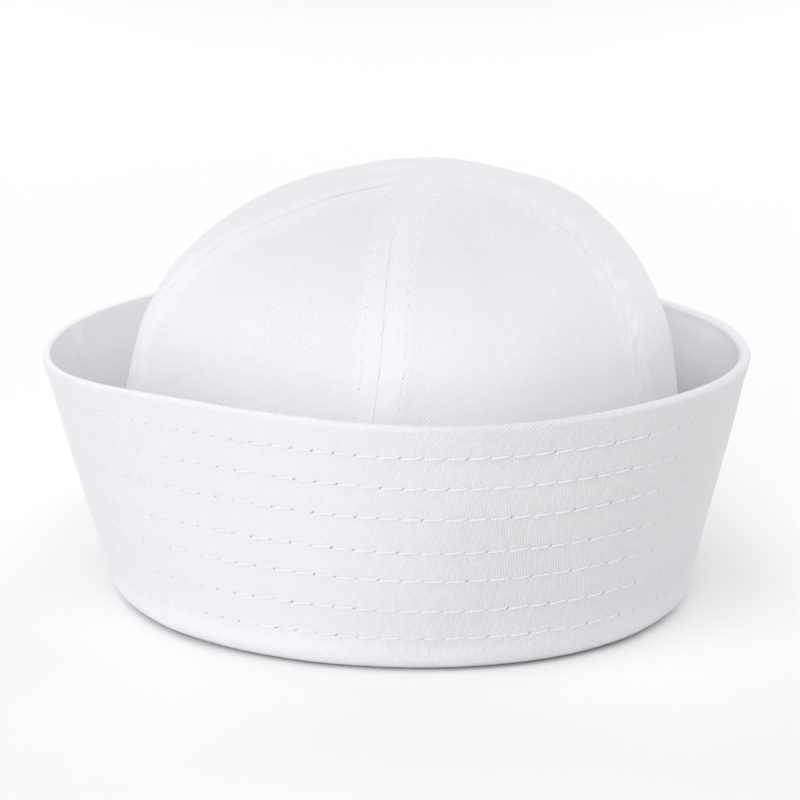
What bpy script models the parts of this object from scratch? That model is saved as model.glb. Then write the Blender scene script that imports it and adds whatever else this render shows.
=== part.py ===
"""Soft sailor cap: six sewn crown gores standing in the fold of one wide brim that is turned up all round.

Lengths are in metres. The front is at -Y, +Z is up, and the cap stands on its fold at z = 0.
Azimuths are in degrees, counted from +X towards +Y.
"""
import math

import bmesh
import bpy
from mathutils import Vector

for old in list(bpy.data.objects):
    bpy.data.objects.remove(old, do_unlink=True)

# Overall sizes
FOLD_RADIUS = 0.0960
BRIM_HEIGHT = 0.0818
BRIM_FLARE = 0.0215
CROWN_HEIGHT = 0.1349
CROWN_LEAN_RIGHT = 0.0095
CROWN_LEAN_BACK = 0.0046

# Cloth
BRIM_CLOTH = 0.0025
CROWN_CLOTH = 0.0012
HEM_CLOTH = 0.0015
HEM_HEIGHT = 0.0120
FOLD_FLOOR = 0.0027
FOLD_ROUNDING = 0.0062
REST_WIDTH = 0.0034
CROWN_SET_IN = 0.0042
GAP = 0.0003

# Crown shape: how square its side is, how flat its top, how full its shoulder, and how far its top tilts
SIDE_POWER = 0.763
TOP_POWER = 0.611
SHOULDER_FULLNESS = 0.043
CROWN_TILT = 0.0486
TILT_AZIMUTH = 127.0
SEAM_SINK = 0.0018
SEAM_SINK_WIDTH = 20.0
BAND_WIDTH = 0.0085
BAND_RAISE = 0.0005
TIP_RADIUS = 0.0020
SWING_START = 30.0

# Waves round the cap: times round, height as a share of the size named, azimuth of a crest
FOLD_WAVES = ((2, 0.0220, 90), (3, 0.0191, -47))
FLARE_WAVES = ((1, 0.072, -160), (2, 0.059, -71), (3, 0.026, 50), (4, 0.020, -36))
HEIGHT_WAVES = ((1, 0.0210, -87), (2, 0.0166, -83), (3, 0.0191, -17), (4, 0.0034, -16), (5, 0.0081, 18))
FULLNESS_WAVES = ((1, 1.99, -122),)

# Seams of the crown: azimuth at the foot, swing on the way up in degrees, sink as a share of SEAM_SINK
SEAMS = (
    (-157.6, 28.7, -2.40),
    (-97.6, -8.5, -0.05),
    (-37.6, 0.0, -0.30),
    (22.4, 0.0, -0.40),
    (82.4, 0.0, -0.25),
    (142.4, 0.0, 0.98),
)
GORES = (
    "gore_front_left",
    "gore_front_right",
    "gore_right",
    "gore_back_right",
    "gore_back_left",
    "gore_left",
)

# Soft dents in the crown: azimuth, climb, half width round and up in degrees, depth as a share of SEAM_SINK
DENTS = (
    (-72.0, 62.0, 7.0, 16.0, 0.55),
    (-133.0, 58.0, 9.0, 6.0, 0.45),
    (-118.0, 36.0, 12.0, 7.0, -0.35),
    (-52.0, 33.0, 10.0, 9.0, 0.40),
    (50.0, 45.0, 14.0, 12.0, 0.50),
    (112.0, 52.0, 13.0, 10.0, 0.45),
)

# Fineness: rows up a gore, even columns between its bands, sections round the brim, steps along each run
ROWS_UP = 19
EVEN_COLUMNS = 10
BRIM_STEPS = 90
WALL_STEPS = 4
FOLD_STEPS = 5
RIM_STEPS = 5


def wave(table, size, azimuth):
    """Sum of the waves of one table at one azimuth, in the unit of the size."""
    heights = [share * math.cos(times * math.radians(azimuth - crest)) for times, share, crest in table]
    return size * sum(heights)


def bump(offset, half_width):
    return math.exp(-((offset / half_width) ** 2))


def turned(angle):
    """The same angle between -180 and 180 degrees."""
    return (angle + 180.0) % 360.0 - 180.0


def fold_radius(azimuth):
    return FOLD_RADIUS + wave(FOLD_WAVES, FOLD_RADIUS, azimuth)


def crown_foot(azimuth, share_up):
    """Radius that the crown starts from: it follows the fold at its foot and is a plain oval higher up."""
    oval = wave(FOLD_WAVES[:1], FOLD_RADIUS, azimuth)
    rest = wave(FOLD_WAVES[1:], FOLD_RADIUS, azimuth)
    return FOLD_RADIUS - CROWN_SET_IN + oval + rest * (1.0 - share_up) ** 3


def crown_centre(share_up):
    return Vector((CROWN_LEAN_RIGHT, CROWN_LEAN_BACK, 0.0)) * share_up**2


def seam_azimuth(seam, climb):
    """A seam keeps its azimuth to SWING_START and then swings smoothly on the way to the top."""
    foot, swing, _ = SEAMS[seam % len(SEAMS)]
    t = min(max((climb - SWING_START) / (90.0 - SWING_START), 0.0), 1.0)
    return foot + swing * t * t * (3.0 - 2.0 * t) + 360.0 * (seam // len(SEAMS))


def crown_swell(azimuth, climb):
    """How far the outer face stands out from the smooth crown: seams sink or ride up, and dents go in."""
    shoulder = max(math.sin(math.radians(2.0 * climb)), 0.0)
    sink = 0.0
    for number, (_, _, share) in enumerate(SEAMS):
        offset = turned(azimuth - seam_azimuth(number, climb))
        sink += share * bump(offset, SEAM_SINK_WIDTH) * shoulder**0.7
    for centre, height, around, up, share in DENTS:
        sink += share * bump(turned(azimuth - centre), around) * bump(climb - height, up)
    return -SEAM_SINK * sink


def crown_rise(climb):
    """Share of the crown's height reached at this climb."""
    return math.sin(math.radians(climb)) ** TOP_POWER


def crown_radius(azimuth, climb):
    """Radius of the smooth crown, without seams and dents; climb is 0 at the table and 90 at the top."""
    side = math.cos(math.radians(climb))
    shoulder = math.sin(math.radians(2.0 * climb))
    fullness = SHOULDER_FULLNESS + wave(FULLNESS_WAVES, SHOULDER_FULLNESS, azimuth)
    return crown_foot(azimuth, crown_rise(climb)) * side**SIDE_POWER * (1.0 + fullness * shoulder)


def crown_point(azimuth, climb, raised):
    """Point of the crown's outer face, with its seams and dents, and a raised band where raised isn't 0."""
    turn = math.radians(azimuth)
    swell = crown_swell(azimuth, climb) + raised
    radius = crown_radius(azimuth, climb) + swell * math.cos(math.radians(climb))
    height = CROWN_HEIGHT * crown_rise(climb) + swell * math.sin(math.radians(climb))
    uphill = math.cos(math.radians(azimuth - TILT_AZIMUTH)) * radius / FOLD_RADIUS
    tilt = CROWN_TILT * crown_rise(climb) ** 2 * uphill
    flat = crown_centre(crown_rise(climb)) + Vector((radius * math.cos(turn), radius * math.sin(turn), 0.0))
    return flat + Vector((0.0, 0.0, height * (1.0 + tilt)))


def climb_at(height):
    return math.degrees(math.asin((height / CROWN_HEIGHT) ** (1.0 / TOP_POWER)))


def gore_columns(span):
    """Shares of the way across a gore of this width in metres: seam, band edge, then even columns."""
    band = min(BAND_WIDTH / span, 0.22)
    edge = [0.0, band * 0.8, band]
    inner = [band + (1.0 - 2.0 * band) * (i + 1) / EVEN_COLUMNS for i in range(EVEN_COLUMNS - 1)]
    return edge + inner + [1.0 - share for share in reversed(edge)]


def grid_mesh(name, across, up, place):
    """A grid of quads whose points are moved by place(column, row)."""
    mesh = bpy.data.meshes.new(name)
    work = bmesh.new()
    bmesh.ops.create_grid(work, x_segments=across, y_segments=up, size=1.0)
    for vert in work.verts:
        column = round((vert.co.x + 1.0) / 2.0 * across)
        row = round((vert.co.y + 1.0) / 2.0 * up)
        vert.co = place(column, row)
    bmesh.ops.remove_doubles(work, verts=work.verts, dist=1e-7)
    work.to_mesh(mesh)
    work.free()
    return mesh


def gore_mesh(name, seam):
    foot_climb = climb_at(FOLD_FLOOR + GAP)
    tip_climb = math.degrees(math.acos((TIP_RADIUS / FOLD_RADIUS) ** (1.0 / SIDE_POWER)))
    last = 2 + EVEN_COLUMNS + 2

    def place(column, row):
        climb = foot_climb + (tip_climb - foot_climb) * (row / ROWS_UP) ** 1.6
        left = seam_azimuth(seam, climb)
        right = seam_azimuth(seam + 1, climb)
        reach = crown_radius((left + right) / 2.0, climb)
        margin = math.degrees(GAP / 2.0 / reach)
        share = gore_columns(reach * math.radians(right - left))[column]
        raised = BAND_RAISE if column in (0, 1, last - 1, last) else 0.0
        fade = min(2.0 * reach / FOLD_RADIUS, climb - foot_climb, 1.0)
        return crown_point(left + margin + (right - left - 2.0 * margin) * share, climb, raised * fade)

    return grid_mesh(name, last, ROWS_UP, place)


def wall_point(azimuth, share, inset):
    """Point on the brim's outer face at this share of its height, moved in by inset, as (radius, height)."""
    foot = fold_radius(azimuth)
    flare = BRIM_FLARE + wave(FLARE_WAVES, BRIM_FLARE, azimuth)
    rim_height = BRIM_HEIGHT + wave(HEIGHT_WAVES, BRIM_HEIGHT, azimuth)
    height = rim_height * share
    low = min(height, FOLD_ROUNDING)
    ease = FOLD_ROUNDING - math.sqrt(FOLD_ROUNDING**2 - (FOLD_ROUNDING - low) ** 2)
    return foot + flare * share - ease - inset, height


def brim_section(azimuth):
    """Closed outline of the brim at one azimuth, as (radius, height): fold, outer wall, rim, inside, hem."""
    rim_height = BRIM_HEIGHT + wave(HEIGHT_WAVES, BRIM_HEIGHT, azimuth)
    low_face = crown_point(azimuth, climb_at(FOLD_FLOOR), 0.0).xy.length
    high_face = crown_point(azimuth, climb_at(HEM_HEIGHT), 0.0).xy.length - CROWN_CLOTH - GAP
    fold_share = FOLD_ROUNDING / rim_height
    half = BRIM_CLOTH / 2.0
    rim_share = 1.0 - half / rim_height
    rest_edge = wall_point(azimuth, 0.0, 0.0)[0]
    outline = [(rest_edge - REST_WIDTH, 0.0)]
    for i in range(FOLD_STEPS + 1):
        angle = math.radians(90.0 * i / FOLD_STEPS)
        outline.append(wall_point(azimuth, fold_share * (1.0 - math.cos(angle)), 0.0))
    for i in range(1, WALL_STEPS + 1):
        outline.append(wall_point(azimuth, fold_share + (rim_share - fold_share) * i / WALL_STEPS, 0.0))
    rim_centre = wall_point(azimuth, rim_share, half)
    for i in range(1, RIM_STEPS):
        angle = math.radians(180.0 * i / RIM_STEPS)
        outline.append((rim_centre[0] + half * math.cos(angle), rim_centre[1] + half * math.sin(angle)))
    channel_share = (HEM_HEIGHT / 2.0) / rim_height
    for i in range(WALL_STEPS + 1):
        share = rim_share + (channel_share - rim_share) * i / WALL_STEPS
        outline.append(wall_point(azimuth, share, BRIM_CLOTH))
    outline.append((low_face + GAP, FOLD_FLOOR))
    outline.append((low_face - CROWN_CLOTH - GAP, FOLD_FLOOR))
    outline.append((high_face, HEM_HEIGHT - HEM_CLOTH / 2.0))
    outline.append((high_face - HEM_CLOTH / 2.0, HEM_HEIGHT))
    outline.append((high_face - HEM_CLOTH, HEM_HEIGHT - HEM_CLOTH / 2.0))
    outline.append((rest_edge - REST_WIDTH, HEM_CLOTH))
    return outline


def brim_mesh(name):
    sections = [brim_section(360.0 * i / BRIM_STEPS) for i in range(BRIM_STEPS)]
    count = len(sections[0])

    def place(column, row):
        radius, height = sections[column % BRIM_STEPS][row % count]
        turn = 2.0 * math.pi * column / BRIM_STEPS
        return Vector((radius * math.cos(turn), radius * math.sin(turn), height))

    return grid_mesh(name, BRIM_STEPS, count, place)


def rim_middle():
    """Middle of the brim's outline from above, which the finished cap is centred on."""
    xs = []
    ys = []
    for i in range(BRIM_STEPS):
        azimuth = 360.0 * i / BRIM_STEPS
        rim_height = BRIM_HEIGHT + wave(HEIGHT_WAVES, BRIM_HEIGHT, azimuth)
        radius = wall_point(azimuth, 1.0 - BRIM_CLOTH / 2.0 / rim_height, 0.0)[0]
        xs.append(radius * math.cos(math.radians(azimuth)))
        ys.append(radius * math.sin(math.radians(azimuth)))
    return Vector(((min(xs) + max(xs)) / 2.0, (min(ys) + max(ys)) / 2.0, 0.0))


def twill(name, shade):
    material = bpy.data.materials.new(name)
    material.use_nodes = True
    surface = material.node_tree.nodes["Principled BSDF"]
    surface.inputs["Base Color"].default_value = (shade, shade, shade * 1.01, 1.0)
    surface.inputs["Roughness"].default_value = 0.9
    return material


def add_piece(name, mesh, cloth, shade, collection):
    """Puts a mesh in the scene as a piece; cloth is the thickness of an open sheet, or None for a solid."""
    mesh.shade_smooth()
    mesh.materials.append(twill(name + "_twill", shade))
    piece = bpy.data.objects.new(name, mesh)
    collection.objects.link(piece)
    piece.location = -rim_middle()
    if cloth:
        thicken = piece.modifiers.new("cloth", "SOLIDIFY")
        thicken.thickness = cloth
        thicken.offset = -1.0
        thicken.use_even_offset = True
    return piece


cap = bpy.data.collections.new("sailor_cap")
bpy.context.scene.collection.children.link(cap)
add_piece("brim", brim_mesh("brim"), None, 0.82, cap)
for number, gore in enumerate(GORES):
    add_piece(gore, gore_mesh(gore, number), CROWN_CLOTH, 0.80, cap)
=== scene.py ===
import bmesh
import bpy
import numpy as np
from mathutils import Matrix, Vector


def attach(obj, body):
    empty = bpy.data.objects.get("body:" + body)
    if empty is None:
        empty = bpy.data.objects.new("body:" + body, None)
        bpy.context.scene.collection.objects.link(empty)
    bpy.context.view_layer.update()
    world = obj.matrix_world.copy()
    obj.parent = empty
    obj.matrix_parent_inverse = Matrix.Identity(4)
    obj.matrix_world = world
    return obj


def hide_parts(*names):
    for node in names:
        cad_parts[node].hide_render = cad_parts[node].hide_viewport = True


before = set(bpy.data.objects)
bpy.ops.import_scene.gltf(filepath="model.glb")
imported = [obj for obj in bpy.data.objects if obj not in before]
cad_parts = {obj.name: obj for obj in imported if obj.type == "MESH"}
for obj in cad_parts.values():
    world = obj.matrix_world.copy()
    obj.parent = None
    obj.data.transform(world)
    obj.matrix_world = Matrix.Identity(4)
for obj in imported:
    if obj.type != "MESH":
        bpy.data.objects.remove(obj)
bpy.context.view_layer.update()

# Sizes that the part's source names, in metres; azimuths round the cap and climbs up the crown, in degrees
FOLD_RADIUS = 0.0960
BRIM_HEIGHT = 0.0818
BRIM_FLARE = 0.0215
CROWN_HEIGHT = 0.1349
CROWN_LEAN = (0.0095, 0.0046)
BRIM_CLOTH = 0.0025
CROWN_CLOTH = 0.0012
HEM_CLOTH = 0.0015
HEM_HEIGHT = 0.0120
FOLD_FLOOR = 0.0027
FOLD_ROUNDING = 0.0062
REST_WIDTH = 0.0034
CROWN_SET_IN = 0.0042
GAP = 0.0003
SECTIONS = 90
SIDE_POWER = 0.763
TOP_POWER = 0.611
SHOULDER_FULLNESS = 0.043
CROWN_TILT = 0.0486
TILT_AZIMUTH = 127.0
SEAM_SINK = 0.0018
SEAM_SINK_WIDTH = 20.0
SWING_START = 30.0
# Waves round the cap: times round, share of the size, and azimuth of a crest
FOLD_WAVES = ((2, 0.0220, 90), (3, 0.0191, -47))
FLARE_WAVES = ((1, 0.072, -160), (2, 0.059, -71), (3, 0.026, 50), (4, 0.020, -36))
HEIGHT_WAVES = ((1, 0.0210, -87), (2, 0.0166, -83), (3, 0.0191, -17), (4, 0.0034, -16), (5, 0.0081, 18))
FULLNESS_WAVES = ((1, 1.99, -122),)
# Seams: azimuth at the foot, swing to the top, and share of SEAM_SINK
SEAMS = (
    (-157.6, 28.7, -2.40),
    (-97.6, -8.5, -0.05),
    (-37.6, 0.0, -0.30),
    (22.4, 0.0, -0.40),
    (82.4, 0.0, -0.25),
    (142.4, 0.0, 0.98),
)
GORES = (
    "gore_front_left", "gore_front_right", "gore_right",
    "gore_back_right", "gore_back_left", "gore_left",
)
# Dents: azimuth, climb, half width round, half width up, and share of SEAM_SINK
DENTS = (
    (-72.0, 62.0, 7.0, 16.0, 0.55),
    (-133.0, 58.0, 9.0, 6.0, 0.45),
    (-118.0, 36.0, 12.0, 7.0, -0.35),
    (-52.0, 33.0, 10.0, 9.0, 0.40),
    (50.0, 45.0, 14.0, 12.0, 0.50),
    (112.0, 52.0, 13.0, 10.0, 0.45),
)

# Sewing, as the photograph shows it: rows as shares of the brim's height
ROW_SHARES = (0.880, 0.762, 0.642, 0.509, 0.393, 0.267, 0.149)
ROW_DIP = 0.010
ROW_DIP_AZIMUTH = -55.0
ROW_SHIFT = 0.37
BRIM_STITCH = 0.0065
CROWN_STITCH = 0.0046
RIGHT_ROW_START = 0.0021
LEFT_BAND = 0.0100
RIGHT_BAND = 0.0076
BAND_RAISE = 0.0005
LEFT_BAND_STITCH = 0.0070
RIGHT_BAND_STITCH = 0.0057
SEAM_ROLL = 0.0003
SEAM_DIP = 0.0002
BRIM_JOIN = 167.0
JOIN_BAND = (-4.6, 0.9)
JOIN_RAISE = 0.0006
FLAT_RADIUS = 0.107
REVERSE = 5.5
CREASE_ANGLE = 58.0
MERGE_DISTANCE = 2e-6
# Places where the rim is thicker: azimuth, half width, and extra thickness
RIM_SWELLS = ((-5.0, 60.0, 0.0012), (180.0, 55.0, -0.0004))
# Gathers: seam, climb, half width up, and strength
GATHERS = (
    (2, 58.0, 11.0, 1.05),
    (2, 40.0, 10.0, 0.50),
    (2, 74.0, 7.0, 0.40),
    (1, 74.0, 6.0, 0.25),
    (4, 50.0, 13.0, 0.55),
    (5, 60.0, 10.0, 0.40),
)
# Lumps near the top of a seam: seam, length up, and distance off
APEX_BUMPS = ((1, 0.1745, 0.0022), (1, 0.1772, 0.0024), (1, 0.1812, 0.0020))


def wave(table, size, azimuth):
    """The size, times the sum of share times cosine of times round times (azimuth less crest)."""
    return size * sum(share * np.cos(times * np.radians(azimuth - crest)) for times, share, crest in table)


def bump(offset, half_width):
    """A bell of height 1: e to the minus square of offset over half width."""
    return np.exp(-((offset / half_width) ** 2))


def turned(angle):
    return (angle + 180.0) % 360.0 - 180.0


def ease_between(low, high, value):
    """0 below low, 1 above high, and the smooth cubic 3tt - 2ttt between them."""
    t = np.clip((value - low) / (high - low), 0.0, 1.0)
    return t * t * (3.0 - 2.0 * t)


def fold_radius(azimuth):
    return FOLD_RADIUS + wave(FOLD_WAVES, FOLD_RADIUS, azimuth)


def rim_height(azimuth):
    return BRIM_HEIGHT + wave(HEIGHT_WAVES, BRIM_HEIGHT, azimuth)


def wall_radius(azimuth, share, inset):
    """The fold's radius plus the flare times the share of the height, less a quarter circle at the foot."""
    flare = BRIM_FLARE + wave(FLARE_WAVES, BRIM_FLARE, azimuth)
    low = np.minimum(rim_height(azimuth) * share, FOLD_ROUNDING)
    ease = FOLD_ROUNDING - np.sqrt(FOLD_ROUNDING**2 - (FOLD_ROUNDING - low) ** 2)
    return fold_radius(azimuth) + flare * share - ease - inset


def rim_middle():
    """Middle of the rim's outline from above, over the source's sections, which the cap is centred on."""
    azimuth = np.arange(SECTIONS) * 360.0 / SECTIONS
    radius = wall_radius(azimuth, 1.0 - BRIM_CLOTH / 2.0 / rim_height(azimuth), 0.0)
    x = radius * np.cos(np.radians(azimuth))
    y = radius * np.sin(np.radians(azimuth))
    return np.array([(x.min() + x.max()) / 2.0, (y.min() + y.max()) / 2.0, 0.0])


MIDDLE = rim_middle()


def round_point(azimuth, radius, height):
    """A point at this azimuth, distance from the axis and height, moved so that the rim is centred."""
    turn = np.radians(azimuth)
    return np.stack([radius * np.cos(turn), radius * np.sin(turn), height + 0.0 * radius], axis=-1) - MIDDLE


def crown_rise(climb):
    return np.sin(np.radians(climb)) ** TOP_POWER


def climb_at(height):
    return np.degrees(np.arcsin((height / CROWN_HEIGHT) ** (1.0 / TOP_POWER)))


def seam_azimuth(seam, climb):
    foot, swing, _ = SEAMS[seam % len(SEAMS)]
    return foot + swing * ease_between(SWING_START, 90.0, climb) + 360.0 * (seam // len(SEAMS))


def crown_radius(azimuth, climb):
    """The foot's oval, times cosine of climb to SIDE_POWER, made fuller by sine of twice climb."""
    rise = crown_rise(climb)
    oval = wave(FOLD_WAVES[:1], FOLD_RADIUS, azimuth)
    rest = wave(FOLD_WAVES[1:], FOLD_RADIUS, azimuth)
    foot = FOLD_RADIUS - CROWN_SET_IN + oval + rest * (1.0 - rise) ** 3
    fullness = SHOULDER_FULLNESS + wave(FULLNESS_WAVES, SHOULDER_FULLNESS, azimuth)
    side = np.maximum(np.cos(np.radians(climb)), 0.0) ** SIDE_POWER
    return foot * side * (1.0 + fullness * np.sin(np.radians(2.0 * climb)))


def crown_swell(azimuth, climb):
    """Bumps along the seams, which sink or ride up, and bumps at the dents, all as shares of SEAM_SINK."""
    shoulder = np.maximum(np.sin(np.radians(2.0 * climb)), 0.0)
    sink = 0.0
    for number, (_, _, share) in enumerate(SEAMS):
        offset = turned(azimuth - seam_azimuth(number, climb))
        sink = sink + share * bump(offset, SEAM_SINK_WIDTH) * shoulder**0.7
    for centre, height, around, up, share in DENTS:
        sink = sink + share * bump(turned(azimuth - centre), around) * bump(climb - height, up)
    return -SEAM_SINK * sink


CAP_ROUND = 0.6
LEAST_CLIMB_RATE = 3.0


def soft_waves(azimuth, along, seed, count, longest, shortest):
    """Sum of sines of random direction, phase and length, which come back to themselves round the cap."""
    pick = np.random.default_rng(seed)
    total = 0.0
    for _ in range(count):
        length = pick.uniform(shortest, longest)
        most = int(CAP_ROUND / length)
        times = pick.integers(-most, most + 1)
        climb_rate = np.sqrt(max((1.0 / length) ** 2 - (times / CAP_ROUND) ** 2, LEAST_CLIMB_RATE**2))
        phase = pick.uniform(0.0, 2.0 * np.pi)
        total = total + np.sin(times * np.radians(azimuth) + 2.0 * np.pi * climb_rate * along + phase)
    return total / np.sqrt(count)


SWELL_END = (68.0, 90.0)


def crown_point(azimuth, climb, raised):
    """Point of the crown's outer face: radius and height of the smooth crown, pushed out by its swell."""
    rise = crown_rise(climb)
    swell = crown_swell(azimuth, climb) * (1.0 - ease_between(*SWELL_END, climb)) + raised
    radius = crown_radius(azimuth, climb) + swell * np.cos(np.radians(climb))
    height = CROWN_HEIGHT * rise + swell * np.sin(np.radians(climb))
    uphill = np.cos(np.radians(azimuth - TILT_AZIMUTH)) * radius / FOLD_RADIUS
    point = round_point(azimuth, radius, height * (1.0 + CROWN_TILT * rise**2 * uphill))
    return point + np.stack([CROWN_LEAN[0] * rise**2, CROWN_LEAN[1] * rise**2, 0.0 * rise], axis=-1)


def corners(field):
    """The values at each face's four corners, walked round it, from values on a grid."""
    return np.stack([field[:-1, :-1], field[:-1, 1:], field[1:, 1:], field[1:, :-1]], axis=2)


def wrapped(field, across, up):
    """The grid with its first column or row added again at the end, where it closes on itself."""
    if across:
        field = np.concatenate([field, field[:, :1]], axis=1)
    if up:
        field = np.concatenate([field, field[:1]], axis=0)
    return field


def cloth_mesh(name, points, faces, maps):
    """A mesh from numpy points and faces, with a UV map for each named array of corner values."""
    mesh = bpy.data.meshes.new(name)
    mesh.from_pydata(points.reshape(-1, 3).tolist(), [], faces.reshape(-1, 4).tolist())
    for label, values in maps.items():
        layer = mesh.uv_layers.new(name=label)
        layer.data.foreach_set("uv", np.ascontiguousarray(values, dtype=np.float32).ravel())
    work = bmesh.new()
    work.from_mesh(mesh)
    bmesh.ops.remove_doubles(work, verts=work.verts, dist=MERGE_DISTANCE)
    bmesh.ops.recalc_face_normals(work, faces=work.faces)
    work.to_mesh(mesh)
    work.free()
    mesh.shade_smooth()
    mesh.set_sharp_from_angle(angle=np.radians(CREASE_ANGLE))
    return mesh


def put(name, mesh, material, slot, *nodes):
    """Puts a finished mesh in the scene, riding on the cap's one body."""
    piece = bpy.data.objects.new(name, mesh)
    bpy.context.scene.collection.objects.link(piece)
    mesh.materials.append(material)
    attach(piece, "root")
    if nodes:
        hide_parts(*nodes)
    return piece


# Materials: slants are in radians, noise scales in turns for each metre, reaches in metres along x
WOBBLE_SCALE = 90.0
WOBBLE = 0.00035
PATCH_SCALE = 17.0
PATCH_CONTRAST = 2.2
LEAST_TWILL = 0.15
MOST_TWILL = 0.85
TWILL_SLANT = -0.80
SLUB_ACROSS = 1500.0
SLUB_ALONG = 300.0
SLUB_HEIGHT = 0.45
BEAD_SCALE = 1500.0
BEAD_HEIGHT = 0.50
# Painted shade of the weave: the colour is darker where the weave lies lower
SHADE_GAIN = 0.06
SHADE_BASE = 0.9415
ROW_UNIT = 0.01
HOLE_LEAN = -0.8
HOLE_SQUASH = 0.5
LEAST_PULL = 0.3
FURROW_REACH = 0.0009
BAND_LINE = (0.0003, 0.0032)
REVERSE_LINE = 0.05
WASH = 0.04
WASH_SCALE = 22.0
COOL_SPREAD = 1.6
# Reaches of painted light along x: the side's change of tone, the fading of the holes' painted shade, and the
# weave's strength where the light grazes
SIDE_REACH = (-0.015, 0.095)
LEFT_FADE = (-0.085, -0.020)
RIGHT_FADE = (0.072, 0.100)
CRISP_REACH = (-0.030, 0.026)
REVERSE_SOFTENS = 0.75
LIGHTEST = 1.18
HOLE_PUSH = -2.5
FURROW_PUSH = -0.3
THREAD_WINDING = 1.2
THREAD_WHITE = (0.948, 0.943, 0.985)
THREAD_HOLLOW = 0.94
BRIM_LOOK = {
    "warm": (0.884, 0.878, 0.905),
    "cool": (0.870, 0.865, 0.898),
    "pitch": 0.00086,
    "yarn_slant": 0.20,
    "twill_share": 0.38,
    "rib_height": 0.00013,
    "clear": (0.45, 1.75),
    "stitch": BRIM_STITCH,
    "hole": 0.00050,
    # Painted shade in the needle holes, and what of it stays at the left and the right
    "hole_shade": 0.60,
    "faded": 0.30,
    "doubled": 0.0,
    # Painted shade on the brim's inner wall, down in its trough
    "reverse_shade": 0.10,
    # Painted light and shade: the brim darker towards its right side and lighter at its foot by the floor
    "painted_light": {"Side": -0.045, "Foot": 0.10, "Foot Top": 0.019, "Foot End": 0.001},
}
CROWN_LOOK = {
    "warm": (0.808, 0.801, 0.829),
    "cool": (0.796, 0.789, 0.823),
    "pitch": 0.00090,
    "yarn_slant": 0.05,
    "twill_share": 0.75,
    "rib_height": 0.00010,
    "clear": (0.6, 0.82),
    "stitch": CROWN_STITCH,
    "hole": 0.00032,
    "hole_shade": 0.20,
    "faded": 0.6,
    "doubled": 0.028,
    "reverse_shade": 0.0,
    # Painted light and shade: the crown lighter towards its right side and its foot, so its top stays darker
    # at the colours above
    "painted_light": {"Side": 0.030, "Foot": 0.185, "Foot Top": 0.137, "Foot End": 0.068},
}


def links(tree, *pairs):
    for source, target in pairs:
        tree.links.new(source, target)


def feed(tree, socket, value):
    """Sets an input to a number, or links it to an output."""
    if isinstance(value, (int, float)):
        socket.default_value = value
    elif value is not None:
        tree.links.new(value, socket)


def calc(tree, kind, first, second=None, third=None):
    """The output of a math node of this kind, whose inputs are numbers or sockets."""
    node = tree.nodes.new("ShaderNodeMath")
    node.operation = kind
    for socket, value in zip(node.inputs, (first, second, third)):
        feed(tree, socket, value)
    return node.outputs[0]


def times(tree, first, second):
    return calc(tree, "MULTIPLY", first, second)


def times_plus(tree, first, second, third):
    return calc(tree, "MULTIPLY_ADD", first, second, third)


def ramp(tree, value, ends, results, smooth=False):
    """Takes the values between two ends to two results, in a straight line or a smooth step, held at both."""
    node = tree.nodes.new("ShaderNodeMapRange")
    if smooth:
        node.interpolation_type = "SMOOTHSTEP"
    feed(tree, node.inputs["Value"], value)
    for label, number in zip(("From Min", "From Max", "To Min", "To Max"), (*ends, *results)):
        feed(tree, node.inputs[label], number)
    return node.outputs[0]


def noise(tree, place, scale, detail):
    """Soft noise from 0 to 1 at a place."""
    node = tree.nodes.new("ShaderNodeTexNoise")
    node.inputs["Detail"].default_value = detail
    feed(tree, node.inputs["Vector"], place)
    feed(tree, node.inputs["Scale"], scale)
    return node.outputs["Fac"]


def half_sine(tree, turns, cycles):
    """A sine wave from 0 to 1, with so many cycles for each turn."""
    angle = times(tree, turns, 2.0 * np.pi * cycles)
    return times_plus(tree, calc(tree, "SINE", angle), 0.5, 0.5)


def split_place(tree, place):
    """The three parts of a place, as sockets."""
    node = tree.nodes.new("ShaderNodeSeparateXYZ")
    tree.links.new(place, node.inputs[0])
    return node.outputs


def new_group(name, vector, numbers, outputs):
    """A shader node group with one vector input, number inputs and number outputs, and its end nodes."""
    tree = bpy.data.node_groups.new(name, "ShaderNodeTree")
    tree.interface.new_socket(vector, in_out="INPUT", socket_type="NodeSocketVector")
    for label in numbers:
        tree.interface.new_socket(label, in_out="INPUT", socket_type="NodeSocketFloat")
    for label in outputs:
        tree.interface.new_socket(label, in_out="OUTPUT", socket_type="NodeSocketFloat")
    return tree, tree.nodes.new("NodeGroupInput").outputs, tree.nodes.new("NodeGroupOutput").inputs


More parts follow.
